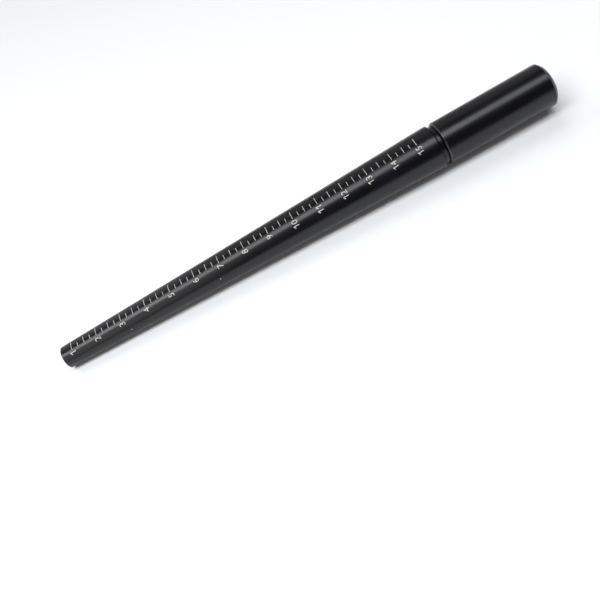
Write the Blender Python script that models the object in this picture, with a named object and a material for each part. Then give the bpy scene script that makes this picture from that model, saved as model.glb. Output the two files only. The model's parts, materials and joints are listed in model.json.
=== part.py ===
"""Ring mandrel: a tapered gauge bar with an engraved size scale, and a plain round grip behind it.

The bar and the grip are turned aluminium, joined end to end by a steel stud that is hidden inside.
Every quarter ring size is a line cut across the top of the taper, and every whole size has its
number beside its line. The lines and numbers are filled with cream paint.

Lengths are in metres. All pieces hang on one empty, whose X axis is the mandrel's own axis and
whose origin is the centre of the tip. Turned profiles are (distance from the tip, radius). The
empty tilts the mandrel so that the taper's lowest flat lies on the ground, which is Z = 0.
"""

import math
from functools import partial

import bmesh
import bpy
from mathutils import Matrix, Vector

MM = 0.001

# Ring sizes: the diameter at a size's line is SIZE_ZERO_DIAMETER + size * DIAMETER_PER_SIZE.
SIZE_ZERO_DIAMETER = 11.63 * MM
DIAMETER_PER_SIZE = 0.8128 * MM
FIRST_SIZE = 1
LAST_SIZE = 15
SIZE_PITCH = 14.7 * MM
FIRST_SIZE_FROM_TIP = 6.7 * MM

# Distances from the tip, along the axis.
SHOULDER = 222.5 * MM
NECK_END = 224.8 * MM
OVERALL_LENGTH = 289.6 * MM

# Turned details.
FACETS = 48
FIT_GAP = 0.3 * MM
TIP_CHAMFER = 0.5 * MM
CENTRE_HOLE_RADIUS = 1.6 * MM
CENTRE_DRILL_RADIUS = 0.7 * MM
CENTRE_DRILL_DEPTH = 3.2 * MM
CENTRE_HOLE_HALF_ANGLE = 30.0
SHOULDER_CHAMFER = 0.2 * MM
NECK_RADIUS = 10.85 * MM
NECK_WALL_RUN = 0.6 * MM
GRIP_RADIUS = 12.1 * MM
GRIP_FRONT_CHAMFER = 0.8 * MM
GRIP_END_CHAMFER = 1.9 * MM
REGISTER_RADIUS = 7.0 * MM
REGISTER_LENGTH = 6.0 * MM
REGISTER_CHAMFER = 0.5 * MM

# The stud, and the tapped holes that take it. Threads are plain cylinders.
STUD_RADIUS = 5.0 * MM
STUD_LENGTH = 40.0 * MM
STUD_CHAMFER = 1.0 * MM
STUD_SOCKET_ACROSS_FLATS = 5.0 * MM
STUD_SOCKET_DEPTH = 5.0 * MM
HOLE_RADIUS = STUD_RADIUS + FIT_GAP
HOLE_DEPTH_IN_TAPER = 24.0 * MM
HOLE_DEPTH_IN_GRIP = 22.0 * MM
DRILL_POINT_HALF_ANGLE = 59.0

# Engraved marks. Angles are in degrees round the axis, from the front (-Y) up to the top (+Z).
# The row is a little askew: it starts at MARK_BASE_ANGLE at the last size, and drops down the front
# by MARK_ROW_DROP of arc with each smaller size.
MARK_BASE_ANGLE = 72.0
MARK_ROW_DROP = 0.05 * MM
MARK_DEPTH = 0.25 * MM
MARK_CLEARANCE = 0.02 * MM
CUTTER_RISE = 0.3 * MM
AT_MIDDLES = 0.0
AT_RIDGES = 0.5
LINE_WIDTH = 0.22 * MM
WHOLE_LINE_LENGTH = 5.0 * MM
HALF_LINE_LENGTH = 4.0 * MM
QUARTER_LINE_LENGTH = 2.6 * MM
DIGIT_HEIGHT = 3.3 * MM
DIGITS_TO_LINES = 0.85 * MM
DIGIT_SPACING = 0.4 * MM

# Digits come from Blender's built-in typeface. These are its sizes for a text of size 1.
TYPEFACE_DIGIT_HEIGHT = 0.691
TYPEFACE_DIGIT_CELL = 0.5
TYPEFACE_THINNING = 0.008
TYPEFACE_CURVE_STEPS = 3

# The figure 1 has a flag and no foot. Its outline and its cell are in parts of its height.
FIGURE_ONE = ((0.36, 0), (0.48, 0), (0.48, 1), (0.39, 1), (0.06, 0.80), (0.06, 0.66), (0.36, 0.82))
FIGURE_ONE_CELL = 0.60

# Colour, roughness and metallic value.
BLACK_ANODISED = ((0.018, 0.018, 0.021, 1), 0.28, 0.9)
CREAM_PAINT = ((0.72, 0.68, 0.60, 1), 0.55, 0.0)
PLATED_STEEL = ((0.55, 0.56, 0.58, 1), 0.35, 1.0)

SAME_POINT = 1e-7
FINEST_DETAIL = 0.02 * MM
SMOOTH_BELOW = math.radians(25)
FACET_ANGLE = 2 * math.pi / FACETS
TAPER_SLOPE = DIAMETER_PER_SIZE / SIZE_PITCH / 2
LYING_ANGLE = math.atan(TAPER_SLOPE * math.cos(FACET_ANGLE / 2))


def size_position(size):
    """Distance of a size's line from the tip."""
    return FIRST_SIZE_FROM_TIP + (size - FIRST_SIZE) * SIZE_PITCH


def taper_radius(x):
    """Radius of the taper at this distance from the tip."""
    size = FIRST_SIZE + (x - FIRST_SIZE_FROM_TIP) / SIZE_PITCH
    return (SIZE_ZERO_DIAMETER + size * DIAMETER_PER_SIZE) / 2


def mark_base(x):
    """Angle round the axis where the marks at this distance from the tip start."""
    drop = MARK_ROW_DROP * (size_position(LAST_SIZE) - x) / SIZE_PITCH
    return math.radians(MARK_BASE_ANGLE) - drop / taper_radius(x)


def material(name, finish):
    colour, roughness, metallic = finish
    made = bpy.data.materials.new(name)
    made.use_nodes = True
    shader = made.node_tree.nodes["Principled BSDF"]
    shader.inputs["Base Color"].default_value = colour
    shader.inputs["Roughness"].default_value = roughness
    shader.inputs["Metallic"].default_value = metallic
    made.diffuse_color = colour
    return made


def add_piece(name, shape, axis, finish):
    """A named object that holds this bmesh, hung on the mandrel's axis."""
    mesh = bpy.data.meshes.new(name)
    shape.to_mesh(mesh)
    shape.free()
    mesh.shade_smooth()
    mesh.set_sharp_from_angle(angle=SMOOTH_BELOW)
    mesh.materials.append(material(name + "_finish", finish))
    piece = bpy.data.objects.new(name, mesh)
    piece.parent = axis
    bpy.context.scene.collection.objects.link(piece)
    return piece


def cut_with(piece, name, shape, axis):
    """Cuts this bmesh out of the piece. The cutter stays as a wire helper."""
    cutter = add_piece(name, shape, axis, PLATED_STEEL)
    cutter.hide_render = True
    cutter.display_type = "WIRE"
    difference = piece.modifiers.new(name, "BOOLEAN")
    difference.operation = "DIFFERENCE"
    difference.solver = "EXACT"
    difference.object = cutter


def turned(profile):
    """The profile spun round the X axis, with a flat facing straight down."""
    shape = bmesh.new()
    turn = Matrix.Rotation(FACET_ANGLE / 2, 3, "X")
    points = [shape.verts.new(turn @ Vector((x, 0, -radius))) for x, radius in profile]
    edges = [shape.edges.new(pair) for pair in zip(points, points[1:])]
    bmesh.ops.spin(shape, geom=points + edges, cent=(0, 0, 0), axis=(1, 0, 0), dvec=(0, 0, 0),
                   angle=2 * math.pi, steps=FACETS, use_merge=True, use_duplicate=False)
    bmesh.ops.remove_doubles(shape, verts=shape.verts, dist=SAME_POINT)
    bmesh.ops.recalc_face_normals(shape, faces=shape.faces)
    return shape


def cone_length(radius, half_angle):
    """Length of a cone of this base radius."""
    return radius / math.tan(math.radians(half_angle))


def sizing_taper_shape():
    register_end = NECK_END + REGISTER_LENGTH
    hole_bottom = register_end - HOLE_DEPTH_IN_TAPER
    countersink = cone_length(CENTRE_HOLE_RADIUS - CENTRE_DRILL_RADIUS, CENTRE_HOLE_HALF_ANGLE)
    return turned([
        (CENTRE_DRILL_DEPTH + cone_length(CENTRE_DRILL_RADIUS, DRILL_POINT_HALF_ANGLE), 0),
        (CENTRE_DRILL_DEPTH, CENTRE_DRILL_RADIUS),
        (countersink, CENTRE_DRILL_RADIUS),
        (0, CENTRE_HOLE_RADIUS),
        (0, taper_radius(0) - TIP_CHAMFER),
        (TIP_CHAMFER, taper_radius(TIP_CHAMFER)),
        (SHOULDER - SHOULDER_CHAMFER, taper_radius(SHOULDER - SHOULDER_CHAMFER)),
        (SHOULDER, taper_radius(SHOULDER) - SHOULDER_CHAMFER),
        (SHOULDER + NECK_WALL_RUN, NECK_RADIUS),
        (NECK_END, NECK_RADIUS),
        (NECK_END, REGISTER_RADIUS),
        (register_end - REGISTER_CHAMFER, REGISTER_RADIUS),
        (register_end, REGISTER_RADIUS - REGISTER_CHAMFER),
        (register_end, HOLE_RADIUS),
        (hole_bottom, HOLE_RADIUS),
        (hole_bottom - cone_length(HOLE_RADIUS, DRILL_POINT_HALF_ANGLE), 0),
    ])


def grip_handle_shape():
    front = NECK_END + FIT_GAP
    counterbore_end = front + REGISTER_LENGTH + FIT_GAP
    hole_bottom = counterbore_end + HOLE_DEPTH_IN_GRIP
    return turned([
        (OVERALL_LENGTH, 0),
        (OVERALL_LENGTH, GRIP_RADIUS - GRIP_END_CHAMFER),
        (OVERALL_LENGTH - GRIP_END_CHAMFER, GRIP_RADIUS),
        (front + GRIP_FRONT_CHAMFER, GRIP_RADIUS),
        (front, GRIP_RADIUS - GRIP_FRONT_CHAMFER),
        (front, REGISTER_RADIUS + FIT_GAP),
        (counterbore_end, REGISTER_RADIUS + FIT_GAP),
        (counterbore_end, HOLE_RADIUS),
        (hole_bottom, HOLE_RADIUS),
        (hole_bottom + cone_length(HOLE_RADIUS, DRILL_POINT_HALF_ANGLE), 0),
    ])


def joining_stud_shape(start):
    end = start + STUD_LENGTH
    return turned([
        (start, 0),
        (start, STUD_RADIUS - STUD_CHAMFER),
        (start + STUD_CHAMFER, STUD_RADIUS),
        (end - STUD_CHAMFER, STUD_RADIUS),
        (end, STUD_RADIUS - STUD_CHAMFER),
        (end, 0),
    ])


def hex_socket_shape(mouth):
    """A hexagonal plug that runs from inside the stud to just beyond its mouth."""
    shape = bmesh.new()
    radius = STUD_SOCKET_ACROSS_FLATS / 2 / math.cos(math.radians(30))
    length = STUD_SOCKET_DEPTH + STUD_CHAMFER
    middle = Matrix.Translation((mouth + STUD_CHAMFER - length / 2, 0, 0))
    along_axis = Matrix.Rotation(math.pi / 2, 4, "Y")
    bmesh.ops.create_cone(shape, cap_ends=True, segments=6, radius1=radius, radius2=radius, depth=length,
                          matrix=middle @ along_axis)
    return shape


def typeface_curve(figure):
    curve = bpy.data.curves.new("figure", "FONT")
    curve.body = figure
    curve.size = DIGIT_HEIGHT / TYPEFACE_DIGIT_HEIGHT
    curve.resolution_u = TYPEFACE_CURVE_STEPS
    curve.offset = -TYPEFACE_THINNING * curve.size
    return curve


def figure_one_curve():
    curve = bpy.data.curves.new("figure", "CURVE")
    curve.dimensions = "2D"
    curve.fill_mode = "BOTH"
    outline = curve.splines.new("POLY")
    outline.points.add(len(FIGURE_ONE) - 1)
    outline.use_cyclic_u = True
    for point, (x, y) in zip(outline.points, FIGURE_ONE):
        point.co = (x * DIGIT_HEIGHT, y * DIGIT_HEIGHT, 0, 1)
    return curve


def flat_figure(figure, start, grow):
    """Flat faces of one digit whose cell starts here, with its outline moved outwards by grow."""
    curve = figure_one_curve() if figure == "1" else typeface_curve(figure)
    curve.offset += grow
    helper = bpy.data.objects.new("figure", curve)
    flat = bmesh.new()
    flat.from_mesh(helper.to_mesh())
    bpy.data.objects.remove(helper)
    bpy.data.curves.remove(curve)
    bmesh.ops.remove_doubles(flat, verts=flat.verts, dist=FINEST_DETAIL)
    bmesh.ops.dissolve_limit(flat, angle_limit=math.radians(1), verts=flat.verts, edges=flat.edges)
    bmesh.ops.triangulate(flat, faces=flat.faces)
    bmesh.ops.translate(flat, verts=flat.verts, vec=(start, -DIGIT_HEIGHT / 2, 0))
    return flat


def flat_line(length, grow):
    """One flat face, from the marks' base line upwards, grown on all sides."""
    flat = bmesh.new()
    corners = [(-grow, -LINE_WIDTH / 2 - grow), (length + grow, -LINE_WIDTH / 2 - grow),
               (length + grow, LINE_WIDTH / 2 + grow), (-grow, LINE_WIDTH / 2 + grow)]
    flat.faces.new([flat.verts.new((x, y, 0)) for x, y in corners])
    return flat


def wrapped(flat, position, floor, top, bend):
    """Thickens flat faces from floor to top and lays them on the taper's flats at this position.

    In the flat mesh X is the arc length up from the marks' base line, and Y points to the tip. The
    faces bend at the ridges between flats, or at the middle of each flat.
    """
    radius = taper_radius(position)
    base = mark_base(position)
    straight_down = -math.pi / 2
    low = min(vertex.co.x for vertex in flat.verts)
    high = max(vertex.co.x for vertex in flat.verts)
    for number in range(FACETS):
        bend_angle = straight_down + (number + bend) * FACET_ANGLE
        bend_at = (bend_angle - base) * radius
        if low < bend_at < high:
            everything = flat.verts[:] + flat.edges[:] + flat.faces[:]
            bmesh.ops.bisect_plane(flat, geom=everything, dist=SAME_POINT, plane_co=(bend_at, 0, 0),
                                   plane_no=(1, 0, 0))
    for vertex in flat.verts:
        vertex.co.z = floor
    risen = bmesh.ops.extrude_face_region(flat, geom=flat.faces[:])["geom"]
    for vertex in risen:
        if isinstance(vertex, bmesh.types.BMVert):
            vertex.co.z = top
    for vertex in flat.verts:
        along, to_tip, height = vertex.co
        angle = base + along / radius
        off_middle = math.remainder(angle - straight_down, FACET_ANGLE)
        x = position - to_tip
        flat_radius = (taper_radius(x) + height) * math.cos(FACET_ANGLE / 2) / math.cos(off_middle)
        vertex.co = (x, -flat_radius * math.cos(angle), flat_radius * math.sin(angle))
    bmesh.ops.recalc_face_normals(flat, faces=flat.faces)
    if flat.calc_volume(signed=True) < 0:
        bmesh.ops.reverse_faces(flat, faces=flat.faces)
    return flat


def figures_of(size):
    """Each digit of a size with the start of its cell, the last one ending just below the lines."""
    start = -DIGITS_TO_LINES
    placed = []
    for figure in reversed(str(size)):
        cell = TYPEFACE_DIGIT_CELL / TYPEFACE_DIGIT_HEIGHT
        start -= DIGIT_HEIGHT * (FIGURE_ONE_CELL if figure == "1" else cell)
        placed.insert(0, (figure, start))
        start -= DIGIT_SPACING
    return placed


def marks():
    """Every engraved mark: its name, its flat shape as a function of grow, and its position."""
    for size in range(FIRST_SIZE, LAST_SIZE + 1):
        for place, (figure, start) in enumerate(figures_of(size), 1):
            name = f"size_{size:02d}_figure_{place}"
            yield name, partial(flat_figure, figure, start), size_position(size)
    for step in range((LAST_SIZE - FIRST_SIZE) * 4 + 1):
        size, quarter = divmod(step, 4)
        size += FIRST_SIZE
        position = size_position(size + quarter / 4)
        if quarter == 0:
            yield f"size_{size:02d}_line", partial(flat_line, WHOLE_LINE_LENGTH), position
        elif quarter == 2:
            yield f"size_{size:02d}_half_line", partial(flat_line, HALF_LINE_LENGTH), position
        else:
            yield None, partial(flat_line, QUARTER_LINE_LENGTH), position


def add_marks(taper, axis):
    """Cuts every mark into the taper, and adds the paint that fills the named ones.

    The quarter lines are cut only, because the part has room for no more pieces.
    """
    all_cutters = bmesh.new()
    for name, flat_shape, position in marks():
        cutter = bpy.data.meshes.new("mark_cutter")
        groove = wrapped(flat_shape(MARK_CLEARANCE), position, -MARK_DEPTH, CUTTER_RISE, AT_MIDDLES)
        groove.to_mesh(cutter)
        groove.free()
        all_cutters.from_mesh(cutter)
        bpy.data.meshes.remove(cutter)
        if name:
            paint = wrapped(flat_shape(0), position, MARK_CLEARANCE - MARK_DEPTH, 0, AT_RIDGES)
            add_piece(name, paint, axis, CREAM_PAINT)
    cut_with(taper, "mark_cutter", all_cutters, axis)


def add_axis():
    """The empty that carries the pieces, lying down with the middle of their box at X = 0."""
    tip_overhang = (taper_radius(0) - TIP_CHAMFER) * math.cos(FACET_ANGLE / 2) * math.sin(LYING_ANGLE)
    end_overhang = (GRIP_RADIUS - GRIP_END_CHAMFER) * math.cos(FACET_ANGLE / 2) * math.sin(LYING_ANGLE)
    length = OVERALL_LENGTH * math.cos(LYING_ANGLE)
    height = taper_radius(0) * math.cos(FACET_ANGLE / 2) * math.cos(LYING_ANGLE)
    axis = bpy.data.objects.new("mandrel_axis", None)
    axis.location = (-(length + end_overhang - tip_overhang) / 2, 0, height)
    axis.rotation_euler = (0, -LYING_ANGLE, 0)
    bpy.context.scene.collection.objects.link(axis)
    return axis


def main():
    for leftover in list(bpy.data.objects):
        bpy.data.objects.remove(leftover)
    axis = add_axis()
    taper = add_piece("sizing_taper", sizing_taper_shape(), axis, BLACK_ANODISED)
    add_marks(taper, axis)
    add_piece("grip_handle", grip_handle_shape(), axis, BLACK_ANODISED)
    stud_start = NECK_END + REGISTER_LENGTH - HOLE_DEPTH_IN_TAPER + STUD_CHAMFER
    stud = add_piece("joining_stud", joining_stud_shape(stud_start), axis, PLATED_STEEL)
    cut_with(stud, "socket_cutter", hex_socket_shape(stud_start + STUD_LENGTH), axis)


main()
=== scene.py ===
"""Ring mandrel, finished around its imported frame.

The turned pieces are built along the mandrel's own axis, with the centre of the tip at the origin
and X running towards the grip, and are then laid where the frame has them. The tapered bar has its
size lines and figures cut into it, and cream paint fills them. Lengths are in metres.
"""

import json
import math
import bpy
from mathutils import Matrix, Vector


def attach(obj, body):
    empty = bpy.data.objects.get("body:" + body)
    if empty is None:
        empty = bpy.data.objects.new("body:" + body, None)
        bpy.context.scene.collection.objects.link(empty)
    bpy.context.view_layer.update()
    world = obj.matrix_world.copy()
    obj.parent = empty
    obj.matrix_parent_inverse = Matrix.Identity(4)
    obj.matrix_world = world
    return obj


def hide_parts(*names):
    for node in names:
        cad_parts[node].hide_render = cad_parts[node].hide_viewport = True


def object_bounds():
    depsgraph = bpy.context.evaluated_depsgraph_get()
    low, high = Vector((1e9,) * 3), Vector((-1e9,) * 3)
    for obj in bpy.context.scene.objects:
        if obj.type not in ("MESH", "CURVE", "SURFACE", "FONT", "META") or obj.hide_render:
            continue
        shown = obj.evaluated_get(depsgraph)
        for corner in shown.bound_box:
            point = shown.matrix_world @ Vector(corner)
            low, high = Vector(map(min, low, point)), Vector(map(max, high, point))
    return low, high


bl_info = {
    "name": "Ring Mandrel",
    "version": (1, 0, 0),
    "blender": (4, 5, 0),
    "location": "View3D > Sidebar > Mandrel",
    "description": "Builds a turned ring mandrel with an engraved and paint-filled size scale",
    "category": "Add Mesh",
}

from functools import partial

import bmesh
import bpy
from bpy.props import FloatProperty, FloatVectorProperty, IntProperty, PointerProperty
from bpy.types import Operator, Panel, PropertyGroup
from mathutils import Matrix, Vector

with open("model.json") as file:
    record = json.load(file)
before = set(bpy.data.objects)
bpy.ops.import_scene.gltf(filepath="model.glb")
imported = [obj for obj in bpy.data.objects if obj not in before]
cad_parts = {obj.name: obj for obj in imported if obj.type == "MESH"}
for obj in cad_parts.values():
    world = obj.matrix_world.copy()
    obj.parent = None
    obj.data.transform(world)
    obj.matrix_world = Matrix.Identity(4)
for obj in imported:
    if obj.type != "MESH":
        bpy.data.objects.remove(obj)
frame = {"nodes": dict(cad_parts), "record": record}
CAD_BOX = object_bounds()

MM = 0.001
BODY = "root"
MOUNTS = {mount["name"]: mount for mount in frame["record"]["mounts"]}
GRIP_END = Vector(MOUNTS["grip_end"]["pos_m"])
ALONG = Vector(MOUNTS["grip_end"]["axis"]).normalized()
LYING_ANGLE = math.atan2(ALONG.z, ALONG.x)


# Turned details that the settings leave alone.
TIP_CHAMFER = 0.5 * MM
SHOULDER_CHAMFER = 0.2 * MM
NECK_WALL_RUN = 0.6 * MM
REGISTER_CHAMFER = 0.5 * MM
CENTRE_HOLE_RADIUS = 1.6 * MM
CENTRE_DRILL_RADIUS = 0.7 * MM
CENTRE_DRILL_DEPTH = 3.2 * MM
CENTRE_HOLE_HALF_ANGLE = 30
DRILL_POINT_HALF_ANGLE = 59
HOLE_DEPTH_IN_TAPER = 24 * MM
HOLE_DEPTH_IN_GRIP = 22 * MM
STUD_TO_HOLE_BOTTOM = 1 * MM
THREAD_DEPTH_PER_PITCH = 0.6
SOFT_EDGE = 0.12 * MM
SOFT_THREAD = 0.05 * MM
CORNER_ANGLE = math.radians(12)
MERGE_DISTANCE = 1e-7

# Wear on the turned edges: its width and its strength.
TIP_WEAR = (0.6 * MM, 0.3)
GRIP_FRONT_WEAR = (0.3 * MM, 0.14)
GRIP_END_WEAR = (0.3 * MM, 0.06)


# ---------------------------------------------------------------- settings

def length(name, description, millimetres):
    """A length property whose default is given in millimetres."""
    return FloatProperty(name=name, description=description, default=millimetres * MM, min=0,
                         precision=5, subtype="DISTANCE", unit="LENGTH")


def colour(name, description, default):
    return FloatVectorProperty(name=name, description=description, default=default, size=3, min=0,
                               max=1, subtype="COLOR")


def angle(name, description, degrees):
    return FloatProperty(name=name, description=description, default=math.radians(degrees),
                         subtype="ANGLE", unit="ROTATION")


def factor(name, description, default):
    return FloatProperty(name=name, description=description, default=default, min=0, max=1,
                         subtype="FACTOR")


class MandrelScale(PropertyGroup):
    """The ring sizes and their engraved marks."""

    zero_diameter: length("Size 0 diameter", "Inside diameter of ring size 0", 11.63)
    diameter_step: length("Diameter per size", "Growth of the diameter from size to size", 0.8128)
    first_size: IntProperty(name="First size", description="Smallest size marked", default=1)
    last_size: IntProperty(name="Last size", description="Largest size marked", default=15)
    pitch: length("Size pitch", "Distance between whole sizes along the mandrel", 14.7)
    first_position: length("First size at", "Distance of the first size from the tip", 6.7)
    base_angle: angle("Mark angle", "Where the last line starts, from the front up to the top", 72)
    row_drop: length("Row drop", "How far the row drops down the front per smaller size", 0.05)
    depth: length("Mark depth", "Depth of the engraving", 0.25)
    line_width: length("Line width", "Width of the engraved lines", 0.22)
    whole_length: length("Whole line", "Length of a whole size's line", 5.0)
    half_length: length("Half line", "Length of a half size's line", 4.0)
    quarter_length: length("Quarter line", "Length of a quarter size's line", 2.6)
    figure_height: length("Figure height", "Height of the figures", 3.3)
    figure_gap: length("Figure gap", "Distance from the figures to the lines", 0.85)
    figure_spacing: length("Figure spacing", "Gap between the two figures of one size", 0.4)
    paint_sink: length("Paint sink", "How far the paint lies under the surface", 0.03)


class MandrelTurning(PropertyGroup):
    """The turned shapes of the bar, the grip and the stud."""

    overall: length("Overall length", "From the tip to the grip's end", 289.6)
    shoulder: length("Shoulder", "Where the taper ends", 222.5)
    neck_end: length("Neck end", "Where the neck meets the grip", 224.8)
    neck_radius: length("Neck radius", "Radius of the neck's floor", 10.85)
    grip_radius: length("Grip radius", "Radius of the grip", 12.1)
    front_chamfer: length("Front chamfer", "Chamfer round the grip's front edge", 0.8)
    end_chamfer: length("End chamfer", "Chamfer round the grip's far end", 1.9)
    fit_gap: length("Fit gap", "Gap between pieces that meet", 0.3)
    register_radius: length("Register radius", "Radius of the register inside the grip", 7.0)
    register_length: length("Register length", "Length of the register", 6.0)
    stud_radius: length("Stud radius", "Outside radius of the stud's thread", 5.0)
    stud_length: length("Stud length", "Length of the stud", 40.0)
    stud_pitch: length("Stud pitch", "Pitch of the stud's thread", 1.5)
    segments: IntProperty(name="Segments", description="Segments round a turned piece",
                          default=192, min=24, max=512)


class MandrelFinish(PropertyGroup):
    """Colours and gloss."""

    anodised: colour("Anodised black", "Colour of the black surface", (0.0022, 0.0021, 0.0026))
    anodised_roughness: factor("Anodised roughness", "Roughness of the black surface", 0.28)
    paint: colour("Paint", "Colour of the paint in the marks", (0.64, 0.60, 0.54))
    bare: colour("Bare metal", "Colour of the metal where the black is gone", (0.86, 0.82, 0.74))
    steel: colour("Steel", "Colour of the stud", (0.56, 0.57, 0.60))


class MandrelStage(PropertyGroup):
    """The floor, the lights and the camera."""

    floor: colour("Floor", "Colour of the floor", (0.86, 0.86, 0.86))
    elevation: angle("Elevation", "Height of the camera above the horizon", 45)
    roll: angle("Roll", "Rise of the mandrel to the right in the picture", 29.75)
    distance: length("Distance", "From the camera to the mandrel's axis", 378)
    foot: length("Foot", "Point of the axis abreast of the camera, from the tip", 145)
    lens: FloatProperty(name="Lens", description="Focal length", default=43.3, unit="CAMERA")


# ---------------------------------------------------------------- shader nodes

class Value:
    """A socket in a node tree. Arithmetic on it adds Math nodes."""

    def __init__(self, tree, socket):
        self.tree = tree
        self.socket = socket

    def math(self, operation, *others, clamp=False):
        node = self.tree.nodes.new("ShaderNodeMath")
        node.operation = operation
        node.use_clamp = clamp
        for socket, operand in zip(node.inputs, (self, *others)):
            connect(self.tree, socket, operand)
        return Value(self.tree, node.outputs[0])

    def __add__(self, other):
        return self.math("ADD", other)

    __radd__ = __add__

    def __mul__(self, other):
        return self.math("MULTIPLY", other)

    __rmul__ = __mul__

    def __sub__(self, other):
        return self.math("SUBTRACT", other)

    def __rsub__(self, other):
        return (self * -1.0) + other

    def clamped(self):
        return self.math("ADD", 0.0, clamp=True)


def connect(tree, socket, operand):
    """Links a value to a socket, or sets the socket to a number or a colour."""
    if isinstance(operand, Value):
        tree.links.new(operand.socket, socket)
    else:
        socket.default_value = operand


class Finish:
    """One material and its nodes."""

    def __init__(self, name):
        self.material = bpy.data.materials.new(name)
        self.material.use_nodes = True
        self.tree = self.material.node_tree
        self.shader = self.tree.nodes["Principled BSDF"]

    def node(self, kind, settings=None, output=0, **sockets):
        """Adds a node, applies its settings and sets or links its sockets, by lower-case name."""
        node = self.tree.nodes.new("ShaderNode" + kind)
        for setting, value in (settings or {}).items():
            setattr(node, setting, value)
        for name, value in sockets.items():
            wanted = name.replace("_", " ")
            socket = next(s for s in node.inputs if s.name.lower() == wanted and s.enabled)
            connect(self.tree, socket, value)
        return Value(self.tree, node.outputs[output])

    def surface(self, **sockets):
        """Sets or links sockets of the Principled shader."""
        for name, value in sockets.items():
            wanted = name.replace("_", " ")
            socket = next(s for s in self.shader.inputs if s.name.lower() == wanted)
            connect(self.tree, socket, value)

    def axis_coordinates(self):
        """Object coordinates turned to the mandrel's axis, with the tip at the origin."""
        position = self.node("TexCoord", output=3)
        turned = Matrix.Rotation(LYING_ANGLE, 3, "Y")
        return self.node("Mapping", vector=position, rotation=(0, LYING_ANGLE, 0),
                         location=-(turned @ tip_centre()))

    def parts_of(self, vector):
        """The X, Y and Z of a vector."""
        first = self.node("SeparateXYZ", vector=vector)
        outputs = first.socket.node.outputs
        return [Value(self.tree, output) for output in outputs]

    def noise(self, vector, scale, detail=3.0, roughness=0.5):
        return self.node("TexNoise", vector=vector, scale=scale, detail=detail,
                         roughness=roughness)

    def between(self, low, high, value):
        """How far a value is from low to high, held to 0 and 1, with soft ends."""
        return self.node("MapRange", {"interpolation_type": "SMOOTHSTEP"}, value=value,
                         from_min=low, from_max=high)

    def blend(self, amount, first, second):
        """A mix of two colours."""
        node = self.tree.nodes.new("ShaderNodeMix")
        node.data_type = "RGBA"
        for name, value in (("Factor_Float", amount), ("A_Color", first), ("B_Color", second)):
            connect(self.tree, next(s for s in node.inputs if s.identifier == name), value)
        return Value(self.tree, next(s for s in node.outputs if s.identifier == "Result_Color"))


def opaque(rgb):
    return (*rgb, 1.0)


# ---------------------------------------------------------------- the mandrel's geometry

def tip_centre():
    """Centre of the tip's face in the frame."""
    return GRIP_END - ALONG * bpy.context.scene.mandrel_turning.overall


def taper_radius(x):
    """Radius of the taper at this distance from the tip."""
    scale = bpy.context.scene.mandrel_scale
    size = scale.first_size + (x - scale.first_position) / scale.pitch
    return (scale.zero_diameter + size * scale.diameter_step) / 2


def size_position(size):
    """Distance of a size's line from the tip."""
    scale = bpy.context.scene.mandrel_scale
    return scale.first_position + (size - scale.first_size) * scale.pitch


def mark_base(x):
    """Angle round the axis where the marks at this distance from the tip start."""
    scale = bpy.context.scene.mandrel_scale
    drop = scale.row_drop * (size_position(scale.last_size) - x) / scale.pitch
    return scale.base_angle - drop / taper_radius(x)


def lay(shape):
    """Moves a shape from the mandrel's own axis to its place in the frame."""
    turn = Matrix.Rotation(-LYING_ANGLE, 4, "Y")
    bmesh.ops.transform(shape, verts=shape.verts, matrix=Matrix.Translation(tip_centre()) @ turn)


def add_piece(name, shape, material, nodes=(), sharp_above=30):
    """Makes the laid shape an object that rides on the frame and stands for these nodes."""
    mesh = bpy.data.meshes.new(name)
    shape.to_mesh(mesh)
    shape.free()
    mesh.shade_smooth()
    mesh.set_sharp_from_angle(angle=math.radians(sharp_above))
    mesh.materials.append(material)
    piece = bpy.data.objects.new(name, mesh)
    bpy.context.scene.collection.objects.link(piece)
    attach(piece, BODY)
    if nodes:
        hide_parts(*nodes)
    return piece


def turned(profile, segments, soften=SOFT_EDGE):
    """Spins a profile round the axis and rounds its sharp edges.

    The profile is a list of points, each a distance from the tip and a radius.
    """
    shape = bmesh.new()
    points = [shape.verts.new((x, 0, -radius)) for x, radius in profile]
    edges = [shape.edges.new(pair) for pair in zip(points, points[1:])]
    bmesh.ops.spin(shape, geom=points + edges, cent=(0, 0, 0), axis=(1, 0, 0), dvec=(0, 0, 0),
                   angle=2 * math.pi, steps=segments, use_merge=True, use_duplicate=False)
    bmesh.ops.remove_doubles(shape, verts=shape.verts, dist=MERGE_DISTANCE)
    bmesh.ops.recalc_face_normals(shape, faces=shape.faces)
    corners = [edge for edge in shape.edges
               if len(edge.link_faces) == 2 and edge.calc_face_angle() > CORNER_ANGLE
               and abs(edge.verts[0].co.x - edge.verts[1].co.x) < MERGE_DISTANCE]
    bmesh.ops.bevel(shape, geom=corners, offset=soften, offset_type="OFFSET", segments=3,
                    profile=0.5, affect="EDGES", clamp_overlap=True, material=-1)
    bmesh.ops.recalc_face_normals(shape, faces=shape.faces)
    return shape


def cone_length(radius, half_angle):
    """Length of a cone of this base radius."""
    return radius / math.tan(math.radians(half_angle))


# ---------------------------------------------------------------- engraved marks

# The built-in typeface's digits at a text size of 1.
TYPEFACE_HEIGHT = 0.691
TYPEFACE_CELL = 0.5
TYPEFACE_THINNING = 0.008

# The figure 1 has a flag and no foot. Its outline and its cell are in parts of its height.
FIGURE_ONE = ((0.36, 0), (0.48, 0), (0.48, 1), (0.39, 1), (0.06, 0.80), (0.06, 0.66), (0.36, 0.82))
FIGURE_ONE_CELL = 0.60

# Small chips in the black: distance from the tip, angle from the front up to the top, and radius.
NICKS = ((38.8 * MM, math.radians(9.5), 0.22 * MM), (91.6 * MM, math.radians(16.0), 0.25 * MM))

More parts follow.
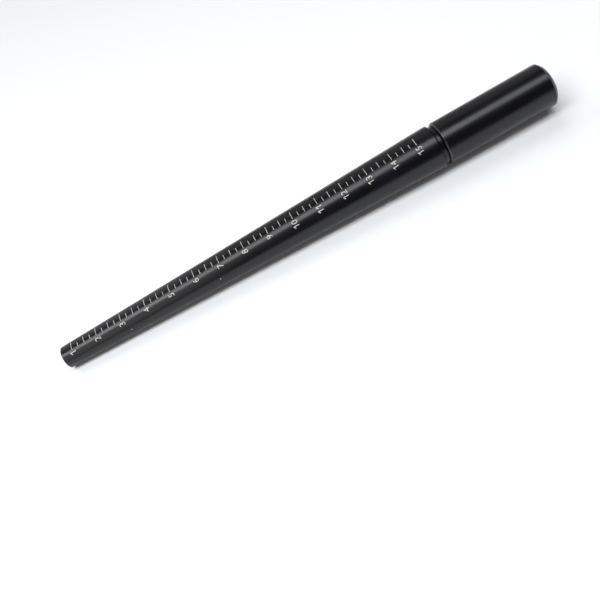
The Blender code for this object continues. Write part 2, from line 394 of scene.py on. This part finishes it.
MARK_CLEARANCE = 0.01 * MM
CUTTER_RISE = 0.3 * MM
BEND_EVERY = math.radians(2.5)


def typeface_curve(figure, height):
    curve = bpy.data.curves.new("figure", "FONT")
    curve.body = figure
    curve.size = height / TYPEFACE_HEIGHT
    curve.resolution_u = 6
    curve.offset = -TYPEFACE_THINNING * curve.size
    return curve


def figure_one_curve(height):
    curve = bpy.data.curves.new("figure", "CURVE")
    curve.dimensions = "2D"
    curve.fill_mode = "BOTH"
    outline = curve.splines.new("POLY")
    outline.points.add(len(FIGURE_ONE) - 1)
    outline.use_cyclic_u = True
    for point, (x, y) in zip(outline.points, FIGURE_ONE):
        point.co = (x * height, y * height, 0, 1)
    return curve


def flat_figure(figure, start, grow):
    """Flat faces of one digit whose cell starts here, with its outline moved outwards by grow."""
    height = bpy.context.scene.mandrel_scale.figure_height
    curve = figure_one_curve(height) if figure == "1" else typeface_curve(figure, height)
    curve.offset += grow
    helper = bpy.data.objects.new("figure", curve)
    flat = bmesh.new()
    flat.from_mesh(helper.to_mesh())
    bpy.data.objects.remove(helper)
    bpy.data.curves.remove(curve)
    bmesh.ops.remove_doubles(flat, verts=flat.verts, dist=0.02 * MM)
    bmesh.ops.dissolve_limit(flat, angle_limit=math.radians(1), verts=flat.verts, edges=flat.edges)
    bmesh.ops.triangulate(flat, faces=flat.faces)
    bmesh.ops.translate(flat, verts=flat.verts, vec=(start, -height / 2, 0))
    return flat


def flat_line(line_length, grow):
    """One flat face, from the marks' base line upwards, grown on all sides."""
    half_width = bpy.context.scene.mandrel_scale.line_width / 2 + grow
    flat = bmesh.new()
    corners = [(-grow, -half_width), (line_length + grow, -half_width),
               (line_length + grow, half_width), (-grow, half_width)]
    flat.faces.new([flat.verts.new((x, y, 0)) for x, y in corners])
    return flat


def wrapped(flat, position, floor, top):
    """Thickens flat faces from floor to top and wraps them round the taper at this position.

    In the flat shape X is the arc length up from the marks' base line, and Y points to the tip.
    """
    radius = taper_radius(position)
    base = mark_base(position)
    low = min(vertex.co.x for vertex in flat.verts)
    high = max(vertex.co.x for vertex in flat.verts)
    bend = BEND_EVERY * radius
    for number in range(math.ceil(low / bend), math.floor(high / bend) + 1):
        everything = flat.verts[:] + flat.edges[:] + flat.faces[:]
        bmesh.ops.bisect_plane(flat, geom=everything, dist=MERGE_DISTANCE,
                               plane_co=(number * bend + bend / 3, 0, 0), plane_no=(1, 0, 0))
    for vertex in flat.verts:
        vertex.co.z = floor
    risen = bmesh.ops.extrude_face_region(flat, geom=flat.faces[:])["geom"]
    for vertex in risen:
        if isinstance(vertex, bmesh.types.BMVert):
            vertex.co.z = top
    for vertex in flat.verts:
        up, to_tip, height = vertex.co
        x = position - to_tip
        turn = base + up / radius
        out = taper_radius(x) + height
        vertex.co = (x, -out * math.cos(turn), out * math.sin(turn))
    bmesh.ops.recalc_face_normals(flat, faces=flat.faces)
    if flat.calc_volume(signed=True) < 0:
        bmesh.ops.reverse_faces(flat, faces=flat.faces)
    return flat


def figure_marks(size):
    """The figures of one size, the last one ending just before the lines."""
    scale = bpy.context.scene.mandrel_scale
    start = -scale.figure_gap
    placed = []
    for figure in reversed(str(size)):
        cell = FIGURE_ONE_CELL if figure == "1" else TYPEFACE_CELL / TYPEFACE_HEIGHT
        start -= scale.figure_height * cell
        placed.insert(0, (partial(flat_figure, figure, start), size_position(size)))
        start -= scale.figure_spacing
    return placed


def line_marks(line_length, offset):
    """Lines of one length at this offset from each whole size."""
    scale = bpy.context.scene.mandrel_scale
    last = scale.last_size - (1 if offset else 0)
    return [(partial(flat_line, line_length), size_position(size + offset))
            for size in range(scale.first_size, last + 1)]


def sizes():
    scale = bpy.context.scene.mandrel_scale
    return range(scale.first_size, scale.last_size + 1)


def all_marks():
    scale = bpy.context.scene.mandrel_scale
    marks = [mark for size in sizes() for mark in figure_marks(size)]
    marks += line_marks(scale.whole_length, 0)
    marks += line_marks(scale.half_length, 0.5)
    marks += line_marks(scale.quarter_length, 0.25)
    marks += line_marks(scale.quarter_length, 0.75)
    return marks


def solids_of(marks, grow, floor, top):
    """All these marks as solids in one shape."""
    together = bmesh.new()
    for flat_shape, position in marks:
        one = wrapped(flat_shape(grow), position, floor, top)
        mesh = bpy.data.meshes.new("mark")
        one.to_mesh(mesh)
        one.free()
        together.from_mesh(mesh)
        bpy.data.meshes.remove(mesh)
    return together


def paint_in(marks):
    """The paint that fills these marks, laid in the frame."""
    scale = bpy.context.scene.mandrel_scale
    paint = solids_of(marks, 0, MARK_CLEARANCE - scale.depth, -scale.paint_sink)
    lay(paint)
    return paint


def cut_marks(shape):
    """Cuts every mark out of the taper's shape."""
    scale = bpy.context.scene.mandrel_scale
    cutters = solids_of(all_marks(), MARK_CLEARANCE, -scale.depth, CUTTER_RISE)
    helpers = []
    for name, each in (("uncut", shape), ("cutter", cutters)):
        mesh = bpy.data.meshes.new(name)
        each.to_mesh(mesh)
        each.free()
        helper = bpy.data.objects.new(name, mesh)
        bpy.context.scene.collection.objects.link(helper)
        helpers.append(helper)
    uncut, cutter = helpers
    difference = uncut.modifiers.new("marks", "BOOLEAN")
    difference.operation = "DIFFERENCE"
    difference.solver = "EXACT"
    difference.object = cutter
    bpy.context.view_layer.update()
    graph = bpy.context.evaluated_depsgraph_get()
    cut = bmesh.new()
    cut.from_mesh(uncut.evaluated_get(graph).to_mesh())
    if len(cut.faces) <= len(uncut.data.polygons):
        raise RuntimeError("the marks did not cut the taper")
    for helper in helpers:
        bpy.data.objects.remove(helper)
    return cut


# ---------------------------------------------------------------- finishes

def turned_surface(finish, coordinates):
    """Fine tool lines round the axis, broken up a little, as a bump."""
    x, y, z = finish.parts_of(coordinates)
    stretched = finish.node("CombineXYZ", x=x * 9000.0, y=y * 60.0, z=z * 60.0)
    lines = finish.noise(stretched, scale=1.0, detail=2.0)
    return finish.node("Bump", strength=0.10, distance=0.00002, height=lines)


def worn_edge(finish, coordinates, edge):
    """Where the black is rubbed off near one turned edge, in broken patches."""
    position, radius, width, amount = edge
    x, y, z = finish.parts_of(coordinates)
    along = x - position
    across = (y * y + z * z).math("SQRT") - radius
    away = (along * along + across * across).math("SQRT")
    broken = finish.between(0.35, 0.62, finish.noise(coordinates, scale=700.0, detail=3.0))
    return amount * (1.0 - finish.between(0.0, width, away)) * broken


def nick(finish, coordinates, spot):
    """A small round chip in the taper's black."""
    from_tip, turn, radius = spot
    out = taper_radius(from_tip)
    centre = (from_tip, -out * math.cos(turn), out * math.sin(turn))
    away = finish.node("VectorMath", {"operation": "DISTANCE"}, output=1, vector=coordinates)
    away.socket.node.inputs[1].default_value = centre
    return 1.0 - finish.between(radius * 0.7, radius, away)


def black_anodised(name, worn_edges, nicks=()):
    """Black anodised aluminium, paler on its worn edges and where a nick shows bare metal.

    A worn edge is its distance from the tip, its radius, the width of the wear and its strength.
    """
    colours = bpy.context.scene.mandrel_finish
    finish = Finish(name)
    coordinates = finish.axis_coordinates()
    patches = finish.noise(coordinates, scale=45.0, detail=4.0)
    grain = finish.noise(coordinates, scale=2600.0, detail=2.0)
    red, green, blue = colours.anodised
    violet = (red * 1.25, green * 1.05, blue * 1.6)
    tinted = finish.between(0.35, 0.65, patches)
    black = finish.blend(tinted, opaque(colours.anodised), opaque(violet))
    masks = [worn_edge(finish, coordinates, edge) for edge in worn_edges]
    masks += [nick(finish, coordinates, spot) for spot in nicks]
    bare = masks[0]
    for mask in masks[1:]:
        bare = bare.math("MAXIMUM", mask)
    roughness = colours.anodised_roughness + (patches - 0.5) * 0.10 + (grain - 0.5) * 0.06
    finish.surface(base_color=finish.blend(bare, black, opaque(colours.bare)), metallic=bare,
                   roughness=roughness.clamped(), ior=1.48,
                   normal=turned_surface(finish, coordinates))
    return finish.material


def cream_paint(name):
    """Matt cream paint with a little dirt in it."""
    colours = bpy.context.scene.mandrel_finish
    finish = Finish(name)
    coordinates = finish.axis_coordinates()
    stains = finish.noise(coordinates, scale=900.0, detail=5.0, roughness=0.6)
    dirt = finish.between(0.52, 0.78, stains)
    grain = finish.noise(coordinates, scale=6000.0, detail=3.0)
    shade = finish.blend(dirt, opaque(colours.paint), opaque([c * 0.55 for c in colours.paint]))
    finish.surface(base_color=shade, roughness=(0.55 + (grain - 0.5) * 0.2).clamped(),
                   normal=finish.node("Bump", strength=0.25, distance=0.00003, height=grain))
    return finish.material


def plated_steel(name):
    colours = bpy.context.scene.mandrel_finish
    finish = Finish(name)
    coordinates = finish.axis_coordinates()
    cloud = finish.noise(coordinates, scale=500.0, detail=4.0)
    shade = finish.blend(cloud, opaque([c * 0.8 for c in colours.steel]), opaque(colours.steel))
    finish.surface(base_color=shade, metallic=1.0, roughness=(0.3 + (cloud - 0.5) * 0.2).clamped())
    return finish.material


def pale_floor(name, rgb):
    finish = Finish(name)
    position = finish.node("TexCoord", output=3)
    mottle = finish.noise(position, scale=6.0, detail=4.0)
    shade = finish.blend(mottle, opaque([c * 0.985 for c in rgb]), opaque(rgb))
    finish.surface(base_color=shade, roughness=0.85, specular_ior_level=0.15)
    return finish.material


# ---------------------------------------------------------------- operators

class MANDREL_OT_taper(Operator):
    """Build the tapered bar with its marks cut in"""

    bl_idname = "mandrel.taper"
    bl_label = "Sizing Taper"

    def execute(self, context):
        turning = context.scene.mandrel_turning
        hole_radius = turning.stud_radius + turning.fit_gap
        register_end = turning.neck_end + turning.register_length
        hole_bottom = register_end - HOLE_DEPTH_IN_TAPER
        countersink = cone_length(CENTRE_HOLE_RADIUS - CENTRE_DRILL_RADIUS, CENTRE_HOLE_HALF_ANGLE)
        shoulder_edge = turning.shoulder - SHOULDER_CHAMFER
        profile = [
            (CENTRE_DRILL_DEPTH + cone_length(CENTRE_DRILL_RADIUS, DRILL_POINT_HALF_ANGLE), 0),
            (CENTRE_DRILL_DEPTH, CENTRE_DRILL_RADIUS),
            (countersink, CENTRE_DRILL_RADIUS),
            (0, CENTRE_HOLE_RADIUS),
            (0, taper_radius(0) - TIP_CHAMFER),
            (TIP_CHAMFER, taper_radius(TIP_CHAMFER)),
        ]
        middles = [size_position(size + 0.5) for size in sizes()]
        profile += [(middle, taper_radius(middle)) for middle in middles
                    if middle < shoulder_edge - MM]
        profile += [
            (shoulder_edge, taper_radius(shoulder_edge)),
            (turning.shoulder, taper_radius(turning.shoulder) - SHOULDER_CHAMFER),
            (turning.shoulder + NECK_WALL_RUN, turning.neck_radius),
            (turning.neck_end, turning.neck_radius),
            (turning.neck_end, turning.register_radius),
            (register_end - REGISTER_CHAMFER, turning.register_radius),
            (register_end, turning.register_radius - REGISTER_CHAMFER),
            (register_end, hole_radius),
            (hole_bottom, hole_radius),
            (hole_bottom - cone_length(hole_radius, DRILL_POINT_HALF_ANGLE), 0),
        ]
        shape = cut_marks(turned(profile, turning.segments))
        lay(shape)
        worn = [(TIP_CHAMFER / 2, taper_radius(0) - TIP_CHAMFER / 2, *TIP_WEAR)]
        material = black_anodised("anodised_taper", worn, NICKS)
        add_piece("sizing_taper_turned", shape, material, ["sizing_taper"])
        return {"FINISHED"}


class MANDREL_OT_lines(Operator):
    """Fill the engraved lines with paint"""

    bl_idname = "mandrel.lines"
    bl_label = "Size Lines"

    def execute(self, context):
        scale = context.scene.mandrel_scale
        material = cream_paint("line_paint")
        nodes = frame["nodes"]
        kinds = [
            ("whole_size_lines", line_marks(scale.whole_length, 0),
             [name for name in nodes if name.endswith("_line") and "_half" not in name]),
            ("half_size_lines", line_marks(scale.half_length, 0.5),
             [name for name in nodes if name.endswith("_half_line")]),
            ("quarter_size_lines",
             line_marks(scale.quarter_length, 0.25) + line_marks(scale.quarter_length, 0.75), []),
        ]
        for name, marks, replaced in kinds:
            add_piece(name, paint_in(marks), material, replaced)
        return {"FINISHED"}


class MANDREL_OT_figures(Operator):
    """Fill the engraved figures with paint"""

    bl_idname = "mandrel.figures"
    bl_label = "Size Figures"

    def execute(self, context):
        material = cream_paint("figure_paint")
        for size in sizes():
            figure = f"size_{size:02d}_figure"
            replaced = [name for name in frame["nodes"] if name.startswith(figure)]
            paint = paint_in(figure_marks(size))
            add_piece(f"size_{size:02d}_figures", paint, material, replaced)
        return {"FINISHED"}


class MANDREL_OT_grip(Operator):
    """Build the plain round grip"""

    bl_idname = "mandrel.grip"
    bl_label = "Grip"

    def execute(self, context):
        turning = context.scene.mandrel_turning
        front = turning.neck_end + turning.fit_gap
        counterbore_end = front + turning.register_length + turning.fit_gap
        hole_radius = turning.stud_radius + turning.fit_gap
        hole_bottom = counterbore_end + HOLE_DEPTH_IN_GRIP
        bore = turning.register_radius + turning.fit_gap
        shape = turned([
            (turning.overall, 0),
            (turning.overall, turning.grip_radius - turning.end_chamfer),
            (turning.overall - turning.end_chamfer, turning.grip_radius),
            (front + turning.front_chamfer, turning.grip_radius),
            (front, turning.grip_radius - turning.front_chamfer),
            (front, bore),
            (counterbore_end, bore),
            (counterbore_end, hole_radius),
            (hole_bottom, hole_radius),
            (hole_bottom + cone_length(hole_radius, DRILL_POINT_HALF_ANGLE), 0),
        ], turning.segments)
        lay(shape)
        worn = [(front + turning.front_chamfer, turning.grip_radius, *GRIP_FRONT_WEAR),
                (turning.overall - turning.end_chamfer, turning.grip_radius, *GRIP_END_WEAR)]
        material = black_anodised("anodised_grip", worn)
        add_piece("grip_handle_turned", shape, material, ["grip_handle"])
        return {"FINISHED"}


class MANDREL_OT_stud(Operator):
    """Build the threaded stud that joins the bar and the grip"""

    bl_idname = "mandrel.stud"
    bl_label = "Joining Stud"

    def execute(self, context):
        turning = context.scene.mandrel_turning
        hole_bottom = turning.neck_end + turning.register_length - HOLE_DEPTH_IN_TAPER
        start = hole_bottom + STUD_TO_HOLE_BOTTOM
        end = start + turning.stud_length
        root = turning.stud_radius - THREAD_DEPTH_PER_PITCH * turning.stud_pitch
        threads = int(turning.stud_length / turning.stud_pitch)
        pitch = turning.stud_length / threads
        profile = [(start, 0), (start, root)]
        for number in range(threads):
            crest = start + (number + 0.5) * pitch
            profile += [(crest, turning.stud_radius), (crest + pitch / 2, root)]
        profile[-1] = (end, root)
        profile.append((end, 0))
        shape = turned(profile, turning.segments // 3, SOFT_THREAD)
        lay(shape)
        add_piece("joining_stud_threaded", shape, plated_steel("stud_steel"),
                  ["joining_stud"])
        return {"FINISHED"}


FLOOR_HALF_WIDTH = 1.2
FLOOR_GAP = 0.05 * MM
CAMERA_SHIFT = (-0.0114, -0.133)
COOL = (0.93, 0.96, 1.0)
WARM = (1.0, 0.95, 0.90)

# Name, centre, the point it faces, width and height, power and tint.
SOFTBOXES = (
    ("overhead_left", (-0.60, -0.20, 0.80), (-0.60, -0.20, 0), (0.60, 0.36), 5.1, COOL),
    ("overhead_middle", (-0.10, -0.20, 0.80), (-0.10, -0.20, 0), (0.40, 0.36), 2.4, COOL),
    ("overhead_right", (0.45, -0.20, 0.80), (0.45, -0.20, 0), (0.70, 0.36), 3.0, COOL),
    ("left_card", (-0.72, -0.80, 0.65), (-0.72, 0, 0.65), (0.90, 1.0), 3.8, WARM),
    ("back_left_card", (-0.95, 1.0, 1.0), (-0.95, 0, 1.0), (1.3, 1.8), 6.4, WARM),
    ("back_right_card", (0.35, 1.0, 1.0), (0.35, 0, 1.0), (1.3, 1.8), 2.9, WARM),
)

# One more, which lights the floor behind and stays out of the reflections.
FAR_FILL = ("far_fill", (-0.50, 1.30, 1.65), (-0.20, 0.30, 0), (3.0, 1.6), 25.0, COOL)


def add_softbox(name, centre, target, size, power, tint):
    """A rectangular light that faces the target."""
    light = bpy.data.lights.new(name, "AREA")
    light.shape = "RECTANGLE"
    light.size, light.size_y = size
    light.energy = power
    light.color = tint
    softbox = bpy.data.objects.new(name, light)
    softbox.visible_camera = False
    bpy.context.scene.collection.objects.link(softbox)
    softbox.location = centre
    softbox.rotation_euler = (Vector(centre) - Vector(target)).to_track_quat("Z", "Y").to_euler()
    return softbox


def dim_room(name):
    """A dim world that looks pale where it shows beyond the floor."""
    world = bpy.data.worlds.new(name)
    world.use_nodes = True
    tree = world.node_tree
    dim = tree.nodes["Background"]
    dim.inputs["Color"].default_value = (0.95, 0.95, 1.0, 1)
    dim.inputs["Strength"].default_value = 0.03
    pale = tree.nodes.new("ShaderNodeBackground")
    pale.inputs["Color"].default_value = (0.93, 0.94, 0.95, 1)
    seen = tree.nodes.new("ShaderNodeLightPath")
    mix = tree.nodes.new("ShaderNodeMixShader")
    tree.links.new(seen.outputs["Is Camera Ray"], mix.inputs[0])
    tree.links.new(dim.outputs[0], mix.inputs[1])
    tree.links.new(pale.outputs[0], mix.inputs[2])
    tree.links.new(mix.outputs[0], tree.nodes["World Output"].inputs["Surface"])
    return world


class MANDREL_OT_stage(Operator):
    """Add the pale floor, the soft lights and the camera"""

    bl_idname = "mandrel.stage"
    bl_label = "Stage"

    def execute(self, context):
        scene = context.scene
        stage = scene.mandrel_stage
        floor_shape = bmesh.new()
        just_below = Matrix.Translation((0, 0, CAD_BOX[0].z - FLOOR_GAP))
        bmesh.ops.create_grid(floor_shape, x_segments=8, y_segments=8, size=FLOOR_HALF_WIDTH,
                              matrix=just_below)
        mesh = bpy.data.meshes.new("floor")
        floor_shape.to_mesh(mesh)
        floor_shape.free()
        mesh.materials.append(pale_floor("pale_floor", stage.floor))
        floor = bpy.data.objects.new("floor", mesh)
        scene.collection.objects.link(floor)

        scene.world = dim_room("room")

        for softbox in SOFTBOXES:
            add_softbox(*softbox)
        add_softbox(*FAR_FILL).visible_glossy = False

        camera_data = bpy.data.cameras.new("camera")
        camera_data.lens = stage.lens
        camera_data.shift_x, camera_data.shift_y = CAMERA_SHIFT
        camera_data.clip_start = 0.01
        camera = bpy.data.objects.new("camera", camera_data)
        scene.collection.objects.link(camera)
        towards = Vector((0, -math.cos(stage.elevation), math.sin(stage.elevation)))
        towards = (towards - ALONG * towards.dot(ALONG)).normalized()
        across = towards.cross(ALONG)
        right = ALONG * math.cos(stage.roll) - across * math.sin(stage.roll)
        up = ALONG * math.sin(stage.roll) + across * math.cos(stage.roll)
        middle = tip_centre() + ALONG * stage.foot
        camera.matrix_world = Matrix.Translation(middle + towards * stage.distance) @ Matrix(
            (right, up, towards)).transposed().to_4x4()
        scene.camera = camera
        scene.view_settings.view_transform = "Standard"
        return {"FINISHED"}


OPERATORS = (MANDREL_OT_taper, MANDREL_OT_lines, MANDREL_OT_figures, MANDREL_OT_grip,
             MANDREL_OT_stud, MANDREL_OT_stage)


class MANDREL_PT_sidebar(Panel):
    """Everything that builds the mandrel, in order"""

    bl_idname = "MANDREL_PT_sidebar"
    bl_label = "Ring Mandrel"
    bl_space_type = "VIEW_3D"
    bl_region_type = "UI"
    bl_category = "Mandrel"

    def draw(self, context):
        for operator in OPERATORS:
            self.layout.operator(operator.bl_idname)


GROUPS = {
    "mandrel_scale": MandrelScale,
    "mandrel_turning": MandrelTurning,
    "mandrel_finish": MandrelFinish,
    "mandrel_stage": MandrelStage,
}


def register():
    for group in GROUPS.values():
        bpy.utils.register_class(group)
    for name, group in GROUPS.items():
        setattr(bpy.types.Scene, name, PointerProperty(type=group))
    for operator in OPERATORS:
        bpy.utils.register_class(operator)
    bpy.utils.register_class(MANDREL_PT_sidebar)


def unregister():
    bpy.utils.unregister_class(MANDREL_PT_sidebar)
    for operator in reversed(OPERATORS):
        bpy.utils.unregister_class(operator)
    for name in GROUPS:
        delattr(bpy.types.Scene, name)
    for group in reversed(GROUPS.values()):
        bpy.utils.unregister_class(group)


def main():
    register()
    bpy.ops.mandrel.taper()
    bpy.ops.mandrel.lines()
    bpy.ops.mandrel.figures()
    bpy.ops.mandrel.grip()
    bpy.ops.mandrel.stud()
    bpy.ops.mandrel.stage()


if __name__ == "__main__":
    main()
